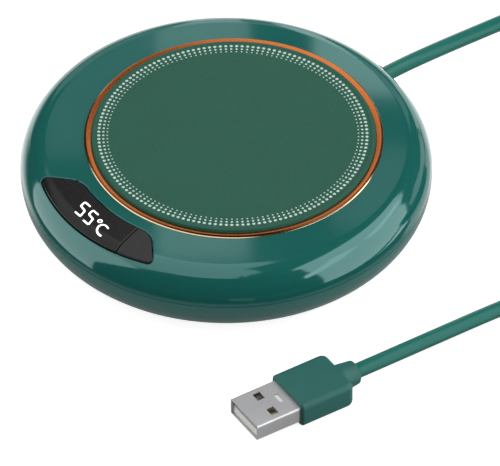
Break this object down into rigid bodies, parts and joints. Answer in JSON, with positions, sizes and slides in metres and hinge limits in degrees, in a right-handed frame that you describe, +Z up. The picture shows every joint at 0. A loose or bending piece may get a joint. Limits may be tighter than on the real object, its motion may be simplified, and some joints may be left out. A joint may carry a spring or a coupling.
{
  "type": "mug warmer",
  "caption": "Round electric mug warmer: domed casing, off-centre heated plate in a copper ring, smoked display with a press key on the rim, and a USB cord with a tied coil.",
  "frame": {"origin": "on the table, under the middle of the casing", "axes": "+Z up; -Y towards the user, through the middle of the display panel; the cord leaves the casing towards +Y"},
  "size_m": [0.1398, 0.183, 0.0222],
  "materials": {
    "casing_gloss": "glossy moulded plastic",
    "plate_enamel": "matt enamel",
    "copper_ring": "polished copper tone",
    "smoked_panel": "smoked gloss",
    "key_black": "satin black",
    "display_block": "matt black",
    "component_black": "matt black",
    "board_laminate": "green laminate",
    "inner_plastic": "matt moulding",
    "white_plastic": "white moulding",
    "white_foam": "fibre pad",
    "heater_film": "amber film",
    "sensor_resin": "epoxy bead",
    "aluminium_sheet": "bare sheet",
    "zinc_steel": "zinc plated",
    "plug_steel": "plated steel",
    "gold_contact": "gold flash",
    "foot_rubber": "soft black rubber",
    "cord_jacket": "satin jacket",
    "lead_insulation": "wire insulation",
    "tie_plastic": "black tie"
  },
  "bodies": {
    "casing": {"top_housing": "casing_gloss", "bottom_cover": "casing_gloss", "housing_screws": "zinc_steel", "rubber_feet": "foot_rubber", "heating_plate": "plate_enamel", "trim_ring": "copper_ring", "heat_spreader": "aluminium_sheet", "heater_element": "heater_film", "insulation_pad": "white_foam", "plate_retainer": "inner_plastic", "retainer_screws": "zinc_steel", "temperature_sensor": "sensor_resin", "display_window": "smoked_panel", "display_module": "display_block", "switch_body": "component_black", "switch_dome": "zinc_steel", "control_board": "board_laminate", "board_screws": "zinc_steel", "control_chip": "component_black", "power_transistor": "component_black", "filter_capacitor": "aluminium_sheet", "board_resistors": "component_black", "lead_connectors": "white_plastic", "heater_leads": "lead_insulation", "sensor_leads": "lead_insulation", "power_leads": "lead_insulation", "cord_grommet": "foot_rubber", "cord_tail": "cord_jacket", "cord_clamp": "inner_plastic", "clamp_screws": "zinc_steel", "cord_near": "cord_jacket", "cord_far": "cord_jacket", "cord_coil": "cord_jacket", "coil_tie": "tie_plastic", "plug_overmold": "cord_jacket", "plug_shell": "plug_steel", "plug_insulator": "white_plastic", "plug_contacts": "gold_contact"},
    "mode_key": {"mode_key": "key_black"},
    "switch_plunger": {"switch_plunger": "component_black"}
  },
  "joints": [
    {"name": "mode_key_press", "type": "slide", "parent": "casing", "child": "mode_key", "axis": [0, 0, -1], "range_m": [0, 0.0004], "stiffness_N_per_m": 800},
    {"name": "switch_plunger_press", "type": "slide", "parent": "casing", "child": "switch_plunger", "axis": [0, 0, -1], "range_m": [0, 0.0004], "deforming": ["switch_dome"]}
  ],
  "couplings": [
    {"joint": "switch_plunger_press", "follows": "mode_key_press", "ratio": 1}
  ]
}
